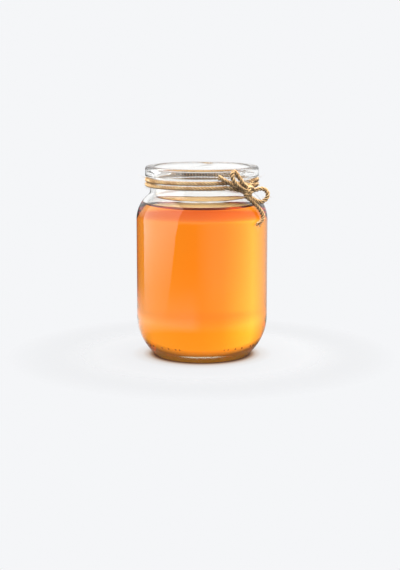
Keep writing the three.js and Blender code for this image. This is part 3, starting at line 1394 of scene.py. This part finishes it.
@dataclass
class Studio:
    """The camera, the pale floor and the soft light."""

    camera_place: Place = (-0.0013, -0.888, 0.1936)
    aim: Place = (-0.0013, 0.0, 0.046)
    lens: float = 85.8
    floor_radius: float = 0.14
    floor_sides: int = 64
    floor_drop: float = 0.00002
    floor: PaleFloor = PaleFloor("pale_floor")
    background: Colour = (0.913, 0.921, 0.938)
    seen_through: Surroundings = Surroundings(
        (
            (-0.45, even(1.2)),
            (-0.27, ((-1.0, 1.05), (-0.5, 1.4), (0.0, 1.1), (1.0, 1.0))),
            (-0.20, ((-1.0, 1.1), (-0.6, 1.8), (-0.4, 1.5), (-0.2, 1.2), (0.0, 1.12), (1.0, 1.0))),
            (-0.18, ((-1.0, 1.1), (-0.6, 2.2), (-0.4, 1.8), (-0.2, 1.35), (0.0, 1.24), (1.0, 1.02))),
            (-0.155, ((-1.0, 1.1), (-0.6, 2.05), (-0.4, 1.6), (-0.2, 1.26), (0.0, 1.18), (1.0, 1.02))),
            (-0.125, ((-1.0, 1.05), (-0.6, 1.98), (-0.4, 1.50), (-0.2, 1.20), (0.0, 1.14), (1.0, 1.0))),
            (-0.09, ((-1.0, 1.05), (-0.6, 2.10), (-0.4, 1.64), (-0.2, 1.27), (0.0, 1.18), (1.0, 1.02))),
            (0.0, ((-1.0, 1.1), (-0.6, 2.5), (-0.4, 2.1), (-0.2, 1.5), (0.0, 1.36), (1.0, 1.2))),
            (0.28, ((-1.0, 1.1), (-0.6, 2.2), (-0.2, 1.45), (0.0, 1.32), (1.0, 1.2))),
            (0.40, even(0.3)),
            (0.60, even(0.3)),
            (1.0, even(0.8)),
        )
    )
    through_clear: Surroundings = Surroundings(
        (
            (-1.0, even(0.6)),
            (-0.45, even(0.8)),
            (-0.20, even(1.0)),
            (-0.05, even(1.04)),
            (0.15, even(1.04)),
            (0.40, even(0.8)),
            (1.0, even(0.6)),
        )
    )
    clear_depth: float = 4.0
    clear_share: float = 0.6
    red_card: Stops = (
        (-0.40, (1.0, 1.0, 1.0)),
        (-0.34, (0.84, 0.47, 0.27)),
        (-0.25, (0.90, 0.58, 0.36)),
        (-0.195, (0.96, 0.82, 0.68)),
        (-0.18, (1.0, 1.0, 1.0)),
    )
    card_behind: Pair = (0.3, 0.7)
    mirrored: Surroundings = Surroundings(
        (
            (-0.45, even(0.06)),
            (-0.20, ((-1.0, 1.5), (-0.3, 1.4), (0.0, 0.45), (0.5, 0.4), (1.0, 0.7))),
            (-0.165, ((-1.0, 0.2), (-0.2, 0.2), (0.0, 0.35), (0.3, 0.6), (1.0, 0.8))),
            (-0.15, ((-1.0, 0.06), (-0.2, 0.08), (0.0, 0.35), (0.3, 0.65), (1.0, 0.8))),
            (-0.03, ((-1.0, 0.06), (-0.2, 0.08), (0.0, 0.35), (0.3, 0.65), (1.0, 0.8))),
            (0.06, ((-1.0, 0.5), (0.0, 0.7), (1.0, 0.8))),
            (0.12, even(0.9)),
            (0.4, even(0.9)),
            (1.0, even(0.5)),
        )
    )
    falling_on: Surroundings = Surroundings(
        (
            (-1.0, even(0.1)),
            (0.0, ((-1.0, 0.8), (1.0, 0.45))),
            (1.0, ((-1.0, 4.6), (1.0, 4.4))),
        )
    )
    lamp: Lamp = Lamp("side_lamp")
    lamp_corners: tuple[Place, ...] = (
        (-0.30, -0.135, -0.035),
        (-0.30, 0.147, -0.035),
        (-0.30, 0.147, 0.60),
        (-0.30, -0.36, 0.60),
        (-0.30, -0.36, 0.055),
    )

    def build(self) -> None:
        """Builds the whole stage."""
        self.build_camera()
        self.build_floor()
        self.build_lamp()
        self.build_world()
        view = bpy.context.scene.view_settings
        view.view_transform = "Standard"
        view.look = "None"
        cycles = bpy.context.scene.cycles
        cycles.max_bounces = 28
        cycles.transmission_bounces = 24
        cycles.glossy_bounces = 8
        cycles.transparent_max_bounces = 24
        cycles.sample_clamp_indirect = 6.0

    def build_camera(self) -> None:
        """Adds the camera, which looks from its place to its aim."""
        data = bpy.data.cameras.new("camera")
        data.lens = self.lens
        camera = bpy.data.objects.new("camera", data)
        camera.location = self.camera_place
        ahead = np.subtract(self.aim, self.camera_place)
        camera.rotation_euler = (math.atan2(math.hypot(ahead[0], ahead[1]), -ahead[2]), 0.0, 0.0)
        bpy.context.scene.collection.objects.link(camera)
        bpy.context.scene.camera = camera

    @staticmethod
    def build_panel(name: str, corners: Array, finish: Finish) -> bpy.types.Object:
        """Adds a flat panel of the stage.

        Args:
            name: The panel's name.
            corners: Its corners in order.
            finish: What it wears.

        Returns:
            The panel.
        """
        mesh = bpy.data.meshes.new(name)
        mesh.from_pydata(corners, [], [list(range(len(corners)))])
        mesh.materials.append(finish.material())
        panel = bpy.data.objects.new(name, mesh)
        bpy.context.scene.collection.objects.link(panel)
        return panel

    def build_floor(self) -> None:
        """Adds the floor, a disc just under the foot of the jar."""
        angle = np.linspace(0.0, 2.0 * math.pi, self.floor_sides, endpoint=False)
        ring = self.floor_radius * np.stack((np.cos(angle), np.sin(angle)), axis=-1)
        corners = np.column_stack((ring, np.full(len(ring), -self.floor_drop)))
        self.build_panel("floor", corners, self.floor)

    def build_lamp(self) -> None:
        """Adds the soft lamp at the left, which the camera itself doesn't see."""
        lamp = self.build_panel("side_lamp", np.array(self.lamp_corners), self.lamp)
        lamp.visible_camera = False

    def build_world(self) -> None:
        """Lights the scene from all round, on a plain pale background.

        Light that falls on matt things, shows through clear or filled glass or is mirrored in
        glass each has its own surroundings, as lamps and cards round a product give it.
        """
        world = bpy.data.worlds.new("soft_light")
        bpy.context.scene.world = world
        tree = Tree(world)
        ray = tree.add("SeparateXYZ")
        tree.join(tree.add("TexCoord").outputs["Generated"], ray, 0)
        path = tree.add("LightPath")
        depth = (self.clear_depth, self.clear_depth + 1.0)
        passed = path.outputs["Transmission Depth"]
        filled = tree.ranged(passed, depth, (0.0, 1.0))
        clear = self.through_clear.strength(tree, ray)
        through = tree.mixed(filled, clear, self.seen_through.strength(tree, ray))
        unfilled = tree.ranged(passed, depth, (self.clear_share, 0.0))
        entered = tree.math("MULTIPLY", passed, unfilled, clamp=True)
        mirrored = tree.mixed(entered, self.mirrored.strength(tree, ray), clear)
        in_glass = tree.mixed(path.outputs["Glossy Depth"], through, mirrored)
        light = tree.mixed(path.outputs["Is Diffuse Ray"], in_glass, self.falling_on.strength(tree, ray))
        lit = tree.add("Background")
        tree.join(light, lit, "Strength")
        far_side = tree.ranged(ray.outputs["Y"], self.card_behind, (0.0, 1.0))
        card = tree.add("Mix", data_type="RGBA")
        tree.join(tree.math("MULTIPLY", far_side, filled), card, 0)
        card.inputs[6].default_value = (1.0, 1.0, 1.0, 1.0)
        tree.join(tree.ramp(ray.outputs["Z"], self.red_card), card, 7)
        tree.join(card.outputs[2], lit, "Color")
        plain = tree.add("Background")
        plain.inputs["Color"].default_value = (*self.background, 1.0)
        shown = tree.blend(path.outputs["Is Camera Ray"], lit, plain)
        tree.join(shown.outputs[0], tree.add("OutputWorld"), "Surface")


def main() -> None:
    """Builds the stage, the twine, the jar and the honey."""
    logging.basicConfig(level=logging.INFO, format="%(name)s %(message)s")
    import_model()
    Studio().build()
    low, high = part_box(Node.JAR.label)
    shape = JarShape(body_radius=(high.x - low.x) / 2.0, height=high.z)
    Twine(TwineRoute(shape.neck_radius)).build()
    honey = Honey(shape, level=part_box(Node.HONEY.label)[1].z - Honey.creep / 2.0)
    GlassJar(shape, honey.wet_height).build()
    honey.build()


if __name__ == "__main__":
    main()
